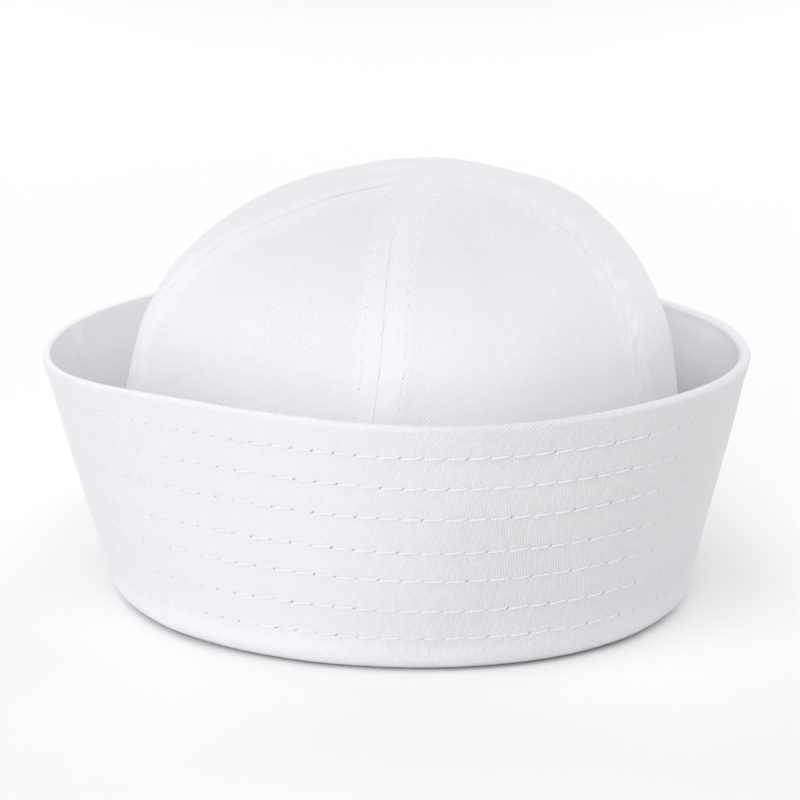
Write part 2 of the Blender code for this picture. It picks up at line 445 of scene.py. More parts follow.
def twill_group():
    """Upright yarns are one slanted sine and the twill line another, and slow noise says which of them shows.

    Slubs along the yarns and fine beads are added, and the shade follows the height as painted shade, darker
    where the weave lies lower.
    """
    numbers = ("Pitch", "Yarn Slant", "Twill Slant", "Twill Share")
    tree, given, out = new_group("twill_weave", "Cloth", numbers, ("Height", "Shade"))
    cloth = given["Cloth"]
    u, v, _ = split_place(tree, cloth)
    shift = times(tree, noise(tree, cloth, WOBBLE_SCALE, 2.0), WOBBLE)

    def ribs(slant):
        """The wave across the ribs, and the distance across and along them."""
        lean = calc(tree, "SINE", slant)
        stand = calc(tree, "COSINE", slant)
        across = calc(tree, "ADD", times(tree, u, stand), times(tree, v, lean))
        along = calc(tree, "SUBTRACT", times(tree, v, stand), times(tree, u, lean))
        turns = calc(tree, "DIVIDE", calc(tree, "ADD", across, shift), given["Pitch"])
        return half_sine(tree, turns, 1.0), across, along

    yarn, across, along = ribs(given["Yarn Slant"])
    twill, _, _ = ribs(given["Twill Slant"])
    patches = calc(tree, "SUBTRACT", noise(tree, cloth, PATCH_SCALE, 1.0), 0.5)
    share = times_plus(tree, patches, PATCH_CONTRAST, given["Twill Share"])
    share = calc(tree, "MINIMUM", calc(tree, "MAXIMUM", share, LEAST_TWILL), MOST_TWILL)
    woven = times_plus(tree, calc(tree, "SUBTRACT", twill, yarn), share, yarn)
    slub_place = tree.nodes.new("ShaderNodeCombineXYZ")
    feed(tree, slub_place.inputs[0], times(tree, across, SLUB_ACROSS))
    feed(tree, slub_place.inputs[1], times(tree, along, SLUB_ALONG))
    slub = noise(tree, slub_place.outputs[0], 1.0, 3.0)
    height = times_plus(tree, slub, SLUB_HEIGHT, woven)
    height = times_plus(tree, noise(tree, cloth, BEAD_SCALE, 1.0), BEAD_HEIGHT, height)
    shade = times_plus(tree, height, SHADE_GAIN, SHADE_BASE)
    links(tree, (height, out["Height"]), (shade, out["Shade"]))
    return tree


def sewing_group():
    """Needle holes where the stitch count is whole and the row is near, and a shallow furrow along the row.

    The UV map holds the stitch count, and the distance off the row in ROW_UNIT.
    """
    results = ("Holes", "Furrow", "Band", "Reverse")
    tree, given, out = new_group("needle_marks", "Row", ("Stitch", "Hole"), results)
    count, distance, _ = split_place(tree, given["Row"])
    number = calc(tree, "ROUND", count)
    along = times(tree, calc(tree, "SUBTRACT", count, number), given["Stitch"])
    off = times(tree, distance, ROW_UNIT)
    slid = times_plus(tree, off, HOLE_LEAN, along)
    squashed = times(tree, times(tree, off, off), HOLE_SQUASH)
    away = calc(tree, "SQRT", calc(tree, "ADD", times(tree, slid, slid), squashed))
    hole = ramp(tree, away, (0.0, given["Hole"]), (1.0, 0.0), smooth=True)
    pulled = tree.nodes.new("ShaderNodeTexWhiteNoise")
    pulled.noise_dimensions = "1D"
    feed(tree, pulled.inputs["W"], number)
    depth = times_plus(tree, pulled.outputs["Value"], 1.0 - LEAST_PULL, LEAST_PULL)
    near = calc(tree, "ABSOLUTE", off)
    links(
        tree,
        (times(tree, hole, depth), out["Holes"]),
        (ramp(tree, near, (0.0, FURROW_REACH), (1.0, 0.0), smooth=True), out["Furrow"]),
        (ramp(tree, off, BAND_LINE, (1.0, 0.0), smooth=True), out["Band"]),
        (calc(tree, "GREATER_THAN", off, REVERSE_LINE), out["Reverse"]),
    )
    return tree


def tone_and_light_group():
    """Slow noise over the cloth for its own uneven tone, plus painted light and shade: a smooth change to one
    side and a lighter foot. Gives a factor and a cool mask.
    """
    numbers = ("Scale", "Side", "Foot", "Foot Top", "Foot End")
    tree, given, out = new_group("tone_and_painted_light", "Place", numbers, ("Tone", "Cool"))
    x, _, z = split_place(tree, given["Place"])
    slow = noise(tree, given["Place"], given["Scale"], 4.0)
    # Painted light and shade: the tone changes towards the right side and towards the foot
    side = ramp(tree, x, SIDE_REACH, (0.0, 1.0), smooth=True)
    foot = ramp(tree, z, (given["Foot Top"], given["Foot End"]), (0.0, 1.0), smooth=True)
    tone = times_plus(tree, slow, WASH, 1.0 - WASH / 2.0)
    change = times_plus(tree, foot, given["Foot"], times(tree, side, given["Side"]))
    tone = times_plus(tree, tone, change, tone)
    cool = times_plus(tree, slow, COOL_SPREAD, 0.5 - COOL_SPREAD / 2.0)
    links(tree, (tone, out["Tone"]), (cool, out["Cool"]))
    return tree


TWILL = twill_group()
NEEDLE_MARKS = sewing_group()
TONE_AND_PAINTED_LIGHT = tone_and_light_group()


def use_group(tree, group, values):
    node = tree.nodes.new("ShaderNodeGroup")
    node.node_tree = group
    for label, value in values.items():
        node.inputs[label].default_value = value
    return node


def new_material(name):
    material = bpy.data.materials.new(name)
    material.use_nodes = True
    return material, material.node_tree, material.node_tree.nodes["Principled BSDF"].inputs


def uv_map(tree, name):
    node = tree.nodes.new("ShaderNodeUVMap")
    node.uv_map = name
    return node.outputs[0]


def mixed(tree, share, first, second):
    """A colour between two fixed ones."""
    node = tree.nodes.new("ShaderNodeMix")
    node.data_type = "RGBA"
    node.inputs["A"].default_value = (*first, 1.0)
    node.inputs["B"].default_value = (*second, 1.0)
    feed(tree, node.inputs["Factor"], share)
    return node.outputs["Result"]


def bump_normal(tree, height, distance):
    node = tree.nodes.new("ShaderNodeBump")
    node.inputs["Strength"].default_value = 1.0
    node.inputs["Distance"].default_value = distance
    feed(tree, node.inputs["Height"], height)
    return node.outputs[0]


def cotton_twill(
    name, warm, cool, pitch, yarn_slant, twill_share, rib_height, clear,
    stitch, hole, hole_shade, faded, doubled, reverse_shade, painted_light,
):
    """White twill: ribs on the UV map "cloth", needle marks on the UV map "rows", slow tone over the object.

    clear is how strong the weave's bump and painted shade are at the left and the right, following how the
    light grazes, and faded what the holes' painted shade keeps at both sides.
    doubled darkens the single cloth beside a seam's band, and dull darkens the cloth's reverse with painted
    shade, for the brim's inner wall in its trough.
    """
    material, tree, surface = new_material(name)
    place = tree.nodes.new("ShaderNodeTexCoord").outputs["Object"]
    slants = {"Yarn Slant": yarn_slant, "Twill Slant": TWILL_SLANT}
    weave = use_group(tree, TWILL, {"Pitch": pitch, "Twill Share": twill_share, **slants})
    marks = use_group(tree, NEEDLE_MARKS, {"Stitch": stitch, "Hole": hole})
    tone_light_node = use_group(tree, TONE_AND_PAINTED_LIGHT, {"Scale": WASH_SCALE, **painted_light})
    links(
        tree,
        (uv_map(tree, "cloth"), weave.inputs["Cloth"]),
        (uv_map(tree, "rows"), marks.inputs["Row"]),
        (place, tone_light_node.inputs["Place"]),
    )
    height = weave.outputs["Height"]
    reverse = marks.outputs["Reverse"]
    tone = tone_light_node.outputs["Tone"]
    x, _, _ = split_place(tree, place)
    # The needle holes' painted shade fades towards the left, where the light washes it out, and towards the
    # right
    tight = ramp(tree, x, LEFT_FADE, (faded, 1.0))
    loose = ramp(tree, x, RIGHT_FADE, (1.0, faded))
    holes = times(tree, times(tree, marks.outputs["Holes"], tight), loose)
    # The weave's bump and painted shade grow towards the right, where the light grazes, and soften on the
    # reverse and at the far right
    crisp = ramp(tree, x, CRISP_REACH, clear)
    crisp = times(tree, crisp, times_plus(tree, reverse, -REVERSE_SOFTENS, 1.0))
    crisp = times(tree, crisp, times_plus(tree, loose, 0.5, 0.5))
    # The weave's painted shade, times the tone with its painted light
    shade = times(tree, calc(tree, "SUBTRACT", weave.outputs["Shade"], 1.0), crisp)
    shade = times_plus(tree, shade, tone, tone)
    # Painted shade: in the needle holes, and on the cloth's reverse down in the brim's trough
    for mask, darker in ((holes, hole_shade), (reverse, reverse_shade)):
        shade = times(tree, shade, times_plus(tree, mask, -darker, 1.0))
    layers = times_plus(tree, marks.outputs["Band"], doubled, 1.0 - doubled)
    shade = calc(tree, "MINIMUM", times(tree, shade, layers), LIGHTEST)
    colour = tree.nodes.new("ShaderNodeVectorMath")
    colour.operation = "SCALE"
    feed(tree, colour.inputs[0], mixed(tree, tone_light_node.outputs["Cool"], warm, cool))
    feed(tree, colour.inputs["Scale"], shade)
    pushed = times_plus(tree, holes, HOLE_PUSH, times(tree, height, crisp))
    pushed = times_plus(tree, marks.outputs["Furrow"], FURROW_PUSH, pushed)
    links(
        tree,
        (colour.outputs[0], surface["Base Color"]),
        (times_plus(tree, height, -0.1, 0.93), surface["Roughness"]),
        (bump_normal(tree, pushed, rib_height), surface["Normal"]),
    )
    surface["Specular IOR Level"].default_value = 0.18
    surface["Sheen Weight"].default_value = 0.03
    surface["Sheen Roughness"].default_value = 0.5
    return material


def sewing_thread(name, colour):
    """White thread: two plies wound round its length, seen as a fine slanted ripple, with painted shade in
    the hollows between the plies.
    """
    material, tree, surface = new_material(name)
    along, around, _ = split_place(tree, uv_map(tree, "cloth"))
    ply = half_sine(tree, times_plus(tree, along, THREAD_WINDING, around), 2.0)
    links(
        tree,
        # Painted shade: the colour is darker in the hollows between the plies
        (mixed(tree, ply, [part * THREAD_HOLLOW for part in colour], colour), surface["Base Color"]),
        (times_plus(tree, ply, -0.1, 0.6), surface["Roughness"]),
        (bump_normal(tree, ply, 0.00004), surface["Normal"]),
    )
    surface["Sheen Weight"].default_value = 0.1
    return material


BRIM_TWILL = cotton_twill("brim_white_twill", **BRIM_LOOK)
CROWN_TWILL = cotton_twill("crown_white_twill", **CROWN_LOOK)
THREAD = sewing_thread("white_sewing_thread", THREAD_WHITE)


# Crown
GORE_ROWS = 150
BAND_COLUMNS = 20
GORE_COLUMNS = 60
COLUMN_BAND = 0.0105
WIDEST_BAND_SHARE = 0.30
COLUMN_POWER = 1.35
LINE_POINTS = 2000
LINE_POWER = 1.6
LAP = -0.00005
INNER_START = 0.01
# Relief of a seam's band, in metres: depths, heights, distances in from the seam, half widths, lengths up
BAND_SHOULDER = 0.0035
STITCH_FURROW = 0.00012
STITCH_FURROW_WIDTH = 0.0011
DIP_OFF = 0.0009
DIP_WIDTH = 0.0013
DIP_ROLL = 0.6
# Ripples along a band: height, length up, lean, start, distance in, and half width
RIPPLES = (
    (0.00010, 0.0131, 900.0, 0.0, 0.0025, 0.0030),
    (0.00007, 0.0077, 0.0, 2.0, 0.0015, 0.0020),
)
GATHER_LENGTH = 0.0093
GATHER_WANDER = 1.6
GATHER_WANDER_LENGTH = 0.0061
GATHER_LEAN = 260.0
GATHER_MEAN = 0.00085
GATHER_SWING = 0.00060
GATHER_OFF = 0.0056
GATHER_WIDTH = 0.0028
CREASE_DEPTH = 0.00065
CREASE_LENGTH = 0.0062
CREASE_LEAN = -700.0
CREASE_STEP = (0.2, 0.9)
CREASE_OFF = 0.0026
CREASE_WIDTH = 0.0018
LEFT_GATHER_DIP = 0.00045
RIGHT_GATHER_DIP = 0.00085
TOP_FADE = (0.012, 0.060)
APEX_BUMP = 0.00042
APEX_BUMP_UP = 0.0011
APEX_BUMP_OFF = 0.0022
APEX_BUMP_START = 0.0012
SLACK = 0.00022
SLACK_SEED = 40
SLACK_WAVES = 14
SLACK_LENGTHS = (0.060, 0.018)
SLACK_START = 0.010


def gore_climbs(seam):
    """Climbs from the foot to the top, spaced evenly by the length of the gore's middle line."""
    foot = climb_at(FOLD_FLOOR + GAP)
    fine = foot + (90.0 - foot) * np.linspace(0.0, 1.0, LINE_POINTS) ** LINE_POWER
    middle = (seam_azimuth(seam, fine) + seam_azimuth(seam + 1, fine)) / 2.0
    line = crown_point(middle, fine, 0.0)
    length = np.concatenate([[0.0], np.cumsum(np.linalg.norm(np.diff(line, axis=0), axis=1))])
    even = np.linspace(0.0, length[-1], GORE_ROWS)
    return np.interp(even, length, fine), even


def gore_sides(seam, climb):
    """Azimuths of a gore's left and right seams at each climb, and the distance between them."""
    left = seam_azimuth(seam, climb)
    right = seam_azimuth(seam + 1, climb)
    return left, right, crown_radius((left + right) / 2.0, climb) * np.radians(right - left)


def gore_shares(span):
    """Shares of the way across at each row: close together over both seam bands, even between them."""
    step = np.linspace(0.0, 1.0, BAND_COLUMNS) ** COLUMN_POWER
    band = np.minimum(COLUMN_BAND / np.maximum(span, 1e-9), WIDEST_BAND_SHARE)[:, None]
    inner = np.linspace(0.0, 1.0, GORE_COLUMNS + 1)[None, 1:-1]
    left = band * step[None]
    right = 1.0 - band * step[None, ::-1]
    return np.concatenate([left, band + (1.0 - 2.0 * band) * inner, right], axis=1)


def band_relief(off, width, stitch_line, up, fade, gather, dip):
    """Profile of a pressed-open seam, against the distance off it and the length up.

    The edge rolls in by a quarter circle, the band stands up and ends in a soft shoulder, and its stitches
    sink in a furrow. Gathers are lumps along the stitches, a sine that wanders, with creases to the seam.
    """
    roll = (SEAM_ROLL + DIP_ROLL * np.maximum(dip - SEAM_DIP, 0.0)) * fade
    drop = 1.0 - np.minimum(off / np.maximum(roll, 1e-9), 1.0)
    rolled = -roll * (1.0 - np.sqrt(np.maximum(1.0 - drop**2, 0.0)))
    raised = BAND_RAISE * (1.0 - ease_between(width - BAND_SHOULDER, width, off))
    furrow = -STITCH_FURROW * bump(off - stitch_line, STITCH_FURROW_WIDTH)
    furrow = furrow - dip * bump(off - DIP_OFF, DIP_WIDTH)
    ripple = 0.0
    for high, length, lean, start, at, wide in RIPPLES:
        ripple = ripple + high * np.sin(2.0 * np.pi * up / length + lean * off + start) * bump(off - at, wide)
    wander = GATHER_WANDER * np.sin(up / GATHER_WANDER_LENGTH)
    lump = np.sin(2.0 * np.pi * up / GATHER_LENGTH + wander + GATHER_LEAN * off)
    lump = gather * (GATHER_MEAN + GATHER_SWING * lump) * bump(off - GATHER_OFF, GATHER_WIDTH)
    crease = ease_between(*CREASE_STEP, np.sin(2.0 * np.pi * up / CREASE_LENGTH + CREASE_LEAN * off))
    crease = -gather * CREASE_DEPTH * crease * bump(off - CREASE_OFF, CREASE_WIDTH)
    return rolled + fade * (raised + furrow + ripple + lump + crease)


def gathered(seam, climb):
    """How much a seam is gathered at a climb, as a sum of bumps."""
    amount = 0.0 * climb
    for at_seam, middle, reach, strength in GATHERS:
        if at_seam == seam % len(SEAMS):
            amount = amount + strength * bump(climb - middle, reach)
    return amount


def gore_relief(seam, azimuth, climb, share, span, up):
    """Relief of a gore's face over the smooth crown: its two seam bands and its soft unevenness."""
    left = share * span
    right = (1.0 - share) * span
    fade = ease_between(*TOP_FADE, span)
    gather = gathered(seam, climb)
    dip = SEAM_DIP + LEFT_GATHER_DIP * gather
    on_left = band_relief(left, LEFT_BAND, LEFT_BAND_STITCH, up, fade, gather, dip)
    dip = RIGHT_GATHER_DIP * gathered(seam + 1, climb)
    on_right = band_relief(right, RIGHT_BAND, RIGHT_BAND_STITCH, up + RIGHT_ROW_START, fade, 0.0, dip)
    relief = np.where(left <= right, on_left, on_right)
    for at_seam, middle, offset in APEX_BUMPS:
        if at_seam == seam:
            lump = bump(up - middle, APEX_BUMP_UP) * bump(left - offset, APEX_BUMP_OFF)
            relief = relief + APEX_BUMP * lump * ease_between(0.0, APEX_BUMP_START, left)
    slack = SLACK * soft_waves(azimuth, up, SLACK_SEED + seam, SLACK_WAVES, *SLACK_LENGTHS) * fade
    return relief + slack * ease_between(0.0, SLACK_START, np.minimum(left, right))


def gore_piece(number, name):
    """Grid over share across and length up; its outer face runs left to right and its lining face back."""
    climb, up = gore_climbs(number)
    left, right, span = gore_sides(number, climb)
    lap = LAP / np.maximum(span, 1e-4)
    share = gore_shares(span)
    azimuth = left[:, None] + (right - left)[:, None] * (lap[:, None] + share * (1.0 - 2.0 * lap[:, None]))
    climbs = climb[:, None] + 0.0 * share
    ups = up[:, None] + 0.0 * share
    relief = gore_relief(number, azimuth, climbs, share, span[:, None], ups)
    outer = crown_point(azimuth, climbs, relief)
    inner = crown_point(azimuth, climbs, -CROWN_CLOTH - GAP * ease_between(0.0, INNER_START, ups))
    outer[-1] = outer[-1].mean(axis=0)
    inner[-1] = inner[-1].mean(axis=0)
    ring = np.concatenate([outer, inner[:, ::-1]], axis=1)
    index = np.arange(ring.shape[0] * ring.shape[1]).reshape(ring.shape[:2])
    walls = corners(wrapped(index, True, False))
    half = share.shape[1]
    edge = np.arange(half - 1)
    foot = np.stack([edge, edge + 1, 2 * half - 2 - edge, 2 * half - 1 - edge], axis=-1)
    cloth = np.stack([(share - 0.5) * span[:, None], ups], axis=-1)
    cloth = wrapped(np.concatenate([cloth, cloth[:, ::-1]], axis=1), True, False)
    off_left = share * span[:, None] - LEFT_BAND_STITCH
    off_right = (1.0 - share) * span[:, None] - RIGHT_BAND_STITCH
    near_left = np.stack([ups / CROWN_STITCH, off_left / ROW_UNIT], axis=-1)
    near_right = np.stack([(ups + RIGHT_ROW_START) / CROWN_STITCH, off_right / ROW_UNIT], axis=-1)
    middle = (share[:, :-1] + share[:, 1:]) / 2.0 < 0.5
    rows = np.where(middle[:-1, :, None, None], corners(near_left), corners(near_right))
    away = np.full((rows.shape[0], 1, 4, 2), 0.5)
    lining = np.full_like(rows, REVERSE)
    rows = np.concatenate([rows, away, lining, away], axis=1)
    faces = np.concatenate([walls.reshape(-1, 4), foot], axis=0)
    spare = np.zeros((len(foot), 4, 2))
    maps = {
        "cloth": np.concatenate([corners(cloth).reshape(-1, 4, 2), spare]),
        "rows": np.concatenate([rows.reshape(-1, 4, 2), spare + 0.5]),
    }
    mesh = cloth_mesh(name, ring, faces, maps)
    piece = put("cloth_" + name, mesh, CROWN_TWILL, "crown_twill", name)


def on_gore(seam, from_right, off, up_wanted):
    """Points and outward directions on a gore's face, a distance in from its left or right edge."""
    climb, up = gore_climbs(seam)
    wanted = np.interp(up_wanted, up, climb)
    left, right, span = gore_sides(seam, wanted)
    share = 1.0 - off / span if from_right else off / span
    azimuth = left + (right - left) * share
    relief = gore_relief(seam, azimuth, wanted, share, span, up_wanted)
    here = crown_point(azimuth, wanted, relief)
    beside = crown_point(azimuth + 0.3, wanted, relief)
    above = crown_point(azimuth, wanted + 0.3, relief)
    outward = np.cross(beside - here, above - here)
    return here, outward / np.linalg.norm(outward, axis=-1, keepdims=True)


# Brim
BRIM_COLUMNS = 630
BRIM_ROWS = 80
HEM_STEPS = 6
FOLD_STEPS = 11
RIM_STEPS = 12
INNER_STEPS = 36
INNER_FADE = 0.06
INNER_RELIEF = 0.6
REST_LIP = (0.0001, 0.0006)
# Unevenness of the wall: height, seed, number of waves, longest and shortest
WALL_WAVES = ((0.00010, 5, 18, 0.050, 0.012), (0.00035, 8, 6, 0.150, 0.070))
ROW_FURROW = 0.00014
ROW_FURROW_WIDTH = 0.0016
PUCKER = 0.00009
PUCKER_WIDTH = 0.0028
PUCKER_LEAN = 60.0
RIM_PAD = 0.00022
RIM_PAD_DROP = 0.0020
RIM_PAD_WIDTH = 0.0035
# Where the rows pull less: at the left a bell, and at the right between two steps, in degrees
LEFT_SLACK = 0.85
LEFT_SLACK_AZIMUTH = -165.0
LEFT_SLACK_WIDTH = 52.0
RIGHT_SLACK = 0.90
RIGHT_SLACK_START = (-56.0, -43.0)
RIGHT_SLACK_END = (-24.0, 4.0)
# The join, in degrees from it: its groove, and the lips on both sides of it
JOIN_GROOVE = 0.00035
JOIN_GROOVE_WIDTH = 0.22
JOIN_LIP = 0.00012
JOIN_LIP_OFF = 0.9
JOIN_LIP_WIDTH = 0.7
JOIN_STEPS = (1.1, 0.9)
# Lumps of the slack fold, scattered round the cap
LUMP_COUNT = 46
LUMP_SEED = 11
# Ranges of a lump's azimuth, height, width, tallness and depth
LUMP_RANGES = ((-180.0, 180.0), (0.001, 0.011), (3.0, 9.0), (0.0016, 0.0035), (-0.00045, 0.00045))
LUMP_DRAWS = np.random.default_rng(LUMP_SEED)
LUMPS = [LUMP_DRAWS.uniform(low, high, LUMP_COUNT) for low, high in LUMP_RANGES]
# Crowding of the mesh's lines: at the join, place off it, how much more and half width; at rows and rim
JOIN_CROWDS = ((0.0, 5.0, 0.8), (-4.3, 3.0, 0.5))
ROW_CROWD = (2.2, 0.022)
RIM_CROWD = (1.2, 0.05)
SWELL_SHARES = (0.25, 0.95)


def row_share(number, azimuth):
    """Each stitched row keeps its share of the brim's height, and dips a little towards the front right."""
    share = ROW_SHARES[number]
    return share - ROW_DIP * np.sin(np.pi * share) * np.cos(np.radians(azimuth - ROW_DIP_AZIMUTH))


def row_radius(number):
    """Mean radius that a row runs at, which sets how many stitches go round."""
    return FOLD_RADIUS + BRIM_FLARE * ROW_SHARES[number]


def stitches_round(number):
    return int(round(2.0 * np.pi * row_radius(number) / BRIM_STITCH))


def cloth_inset(azimuth, share):
    """Thickness of the brim, which grows towards the rim on the right and thins on the left."""
    swell = sum(more * bump(turned(azimuth - middle), wide) for middle, wide, more in RIM_SWELLS)
    return BRIM_CLOTH + swell * ease_between(*SWELL_SHARES, share)


def join_relief(azimuth):
    """Groove of the brim's upright join outside, and the raised band of its turned-in edges inside."""
    off = turned(azimuth - BRIM_JOIN)
    lips = JOIN_LIP * bump(np.abs(off) - JOIN_LIP_OFF, JOIN_LIP_WIDTH)
    outside = lips - JOIN_GROOVE * bump(off, JOIN_GROOVE_WIDTH)
    low, high = JOIN_BAND
    inside = ease_between(low, low + JOIN_STEPS[0], off)
    inside = inside * (1.0 - ease_between(high - JOIN_STEPS[1], high, off))
    return outside, JOIN_RAISE * inside


def thread_pull(azimuth):
    """How hard the rows pull the cloth in: fully, but less at two slack places beside the front."""
    turn = turned(azimuth)
    left = bump(turned(azimuth - LEFT_SLACK_AZIMUTH), LEFT_SLACK_WIDTH)
    right = ease_between(*RIGHT_SLACK_START, turn) * (1.0 - ease_between(*RIGHT_SLACK_END, turn))
    return 1.0 - LEFT_SLACK * left - RIGHT_SLACK * right


def brim_relief(azimuth, share):
    """Quilting: furrows along the rows with a pucker for each stitch, soft pads between, and a slack fold."""
    height = rim_height(azimuth) * share
    relief = 0.0
    for high, *waves in WALL_WAVES:
        relief = relief + high * soft_waves(azimuth, height, *waves)
    for number in range(len(ROW_SHARES)):
        off = height - rim_height(azimuth) * row_share(number, azimuth)
        turn = stitches_round(number) * azimuth / 360.0 + ROW_SHIFT * number
        furrow = ROW_FURROW * bump(off, ROW_FURROW_WIDTH)
        pucker = PUCKER * np.cos(2.0 * np.pi * (turn - PUCKER_LEAN * off)) * bump(off, PUCKER_WIDTH)
        relief = relief - thread_pull(azimuth) * (furrow + pucker)
    relief = relief + RIM_PAD * bump(height - rim_height(azimuth) + RIM_PAD_DROP, RIM_PAD_WIDTH)
    for turn, high, wide, tall, deep in zip(*LUMPS):
        relief = relief + deep * bump(turned(azimuth - turn), wide) * bump(height - high, tall)
    return relief + join_relief(azimuth)[0]


def evened(fine, weight, count):
    """So many values from a fine list, closer together where the weight is more."""
    travelled = np.concatenate([[0.0], np.cumsum((weight[1:] + weight[:-1]) / 2.0)])
    return np.interp(np.linspace(0.0, travelled[-1], count), travelled, fine)


def brim_turns():
    """Azimuths once round from the join and back to it, closer together over the join's groove and band."""
    fine = BRIM_JOIN - 360.0 + 360.0 * np.linspace(0.0, 1.0, 20001)
    off = turned(fine - BRIM_JOIN)
    crowd = sum(more * bump(off - at, wide) for at, more, wide in JOIN_CROWDS)
    return evened(fine, 1.0 + crowd, BRIM_COLUMNS + 1)


def brim_rows():
    """Shares of the brim's height for the outer wall's rows, closer together along each stitched row."""
    fine = np.linspace(0.0, 1.0, 4000)
    near_rows = sum(ROW_CROWD[0] * bump(fine - share, ROW_CROWD[1]) for share in ROW_SHARES)
    return evened(fine, 1.0 + near_rows + RIM_CROWD[0] * bump(fine - 1.0, RIM_CROWD[1]), BRIM_ROWS)


def inner_radius(azimuth, share, fade):
    """Radius of the brim's inner face, where the quilting shows at INNER_RELIEF of its depth."""
    groove, band = join_relief(azimuth)
    relief = INNER_RELIEF * (brim_relief(azimuth, share) - groove) + band
    return wall_radius(azimuth, share, cloth_inset(azimuth, share)) - fade * relief


def brim_section(azimuth):
    """Rows of radius and height for the hem, rest, fold, outer wall, rim, inner wall and channel.

    The third result says which rows are on the sewn outside.
    """
    tall = rim_height(azimuth)
    fold_share = FOLD_ROUNDING / tall
    half = cloth_inset(azimuth, 1.0) / 2.0
    rim_share = 1.0 - half / tall
    rest_edge = wall_radius(azimuth, 0.0, 0.0)
    foot = crown_point(azimuth, climb_at(FOLD_FLOOR) + 0.0 * azimuth, 0.0) + MIDDLE
    low_face = np.hypot(foot[..., 0], foot[..., 1])
    held = crown_point(azimuth, climb_at(HEM_HEIGHT) + 0.0 * azimuth, 0.0) + MIDDLE
    high_face = np.hypot(held[..., 0], held[..., 1]) - CROWN_CLOTH - GAP
    hem_inside = high_face - HEM_CLOTH
    hem_top = HEM_HEIGHT - HEM_CLOTH / 2.0
    rest_inside = rest_edge - REST_WIDTH
    radius = []
    height = []
    sewn = []

    def add(r, z, outside=False):
        radius.append(r + 0.0 * azimuth)
        height.append(z + 0.0 * azimuth)
        sewn.append(outside)

    for t in np.linspace(0.0, 1.0, HEM_STEPS):
        add(hem_inside + (rest_inside - hem_inside) * t, hem_top * (1.0 - t) + HEM_CLOTH * t)
    add(rest_inside + REST_LIP[0], HEM_CLOTH * 0.3)
    add(rest_inside + REST_LIP[1], 0.0)
    for angle in np.radians(np.linspace(0.0, 90.0, FOLD_STEPS)):
        share = fold_share * (1.0 - np.cos(angle))
        push = brim_relief(azimuth, share) * np.sin(angle)
        add(wall_radius(azimuth, share, 0.0) + push, tall * share, True)
    for t in brim_rows()[1:]:
        share = fold_share + (rim_share - fold_share) * t
        add(wall_radius(azimuth, share, 0.0) + brim_relief(azimuth, share), tall * share, True)
    centre = wall_radius(azimuth, rim_share, half)
    for angle in np.radians(np.linspace(0.0, 180.0, RIM_STEPS)[1:-1]):
        push = brim_relief(azimuth, rim_share) * np.cos(angle / 2.0)
        top = tall * rim_share + (half + 0.5 * push) * np.sin(angle)
        add(centre + (half + push) * np.cos(angle), top, True)
    channel_share = HEM_HEIGHT / 2.0 / tall
    for t in np.linspace(0.0, 1.0, INNER_STEPS):
        share = rim_share + (channel_share - rim_share) * t
        add(inner_radius(azimuth, share, ease_between(0.0, INNER_FADE, t)), tall * share)
    add(low_face + GAP, FOLD_FLOOR)
    add(low_face - CROWN_CLOTH - GAP, FOLD_FLOOR)
    add(high_face, hem_top)
    add(high_face - HEM_CLOTH / 2.0, HEM_HEIGHT)
    return np.array(radius), np.array(height), np.array(sewn)


def brim_piece():
    """Grid over azimuth and the way round the section, closed both ways; the cloth's join is at BRIM_JOIN.

    The UV map "rows" holds the stitch count along the nearest row and the distance above it.
    """
    full = brim_turns()
    radius, height, sewn = brim_section(full[:-1])
    points = round_point(full[None, :-1], radius, height)
    index = np.arange(points.shape[0] * points.shape[1]).reshape(points.shape[:2])
    faces = corners(wrapped(index, True, True))
    closed = wrapped(points, True, True)
    step = np.linalg.norm(np.diff(closed, axis=0), axis=-1).mean(axis=1)
    up = np.concatenate([[0.0], np.cumsum(step)])
    cloth = np.stack(np.broadcast_arrays(np.radians(full)[None] * FLAT_RADIUS, up[:, None]), axis=-1)
    level = wrapped(height, True, True)
    numbers = np.arange(len(ROW_SHARES))
    rows_here = np.stack([rim_height(full) * row_share(number, full) for number in numbers])
    target = (rows_here[:, :-1] + rows_here[:, 1:]) / 2.0
    nearest = np.abs(corners(level).mean(axis=2)[None] - target[:, None]).argmin(axis=0)
    column = corners(np.broadcast_to(np.arange(len(full))[None], level.shape))
    off = corners(level) - rows_here[nearest[..., None], column]
    counts = np.array([stitches_round(number) for number in numbers])[nearest][..., None]
    turns = counts * full[column] / 360.0 + ROW_SHIFT * nearest[..., None]
    rows = np.stack([turns, off / ROW_UNIT], axis=-1)
    sewn = np.append(sewn, sewn[:1])
    # Faces off the sewn outside get the reverse mark, where the brim's material paints shade on the inner
    # wall
    rows[~(sewn[:-1] & sewn[1:])] = REVERSE
    maps = {"cloth": corners(cloth).reshape(-1, 4, 2), "rows": rows.reshape(-1, 4, 2)}
    return put("cloth_brim", cloth_mesh("brim", points, faces, maps), BRIM_TWILL, "brim_twill", "brim")


def on_wall(azimuth, share, inside):
    """Points and outward directions on the brim's outer wall, or on its inner wall."""
    def face(turn, part):
        if inside:
            radius = inner_radius(turn, part, 1.0)
        else:
            radius = wall_radius(turn, part, 0.0) + brim_relief(turn, part)
        return round_point(turn, radius, rim_height(turn) * part)

    here = face(azimuth, share)
    outward = np.cross(face(azimuth + 0.2, share) - here, face(azimuth, share + 0.004) - here)
    outward = outward / np.linalg.norm(outward, axis=-1, keepdims=True)
    return here, -outward if inside else outward


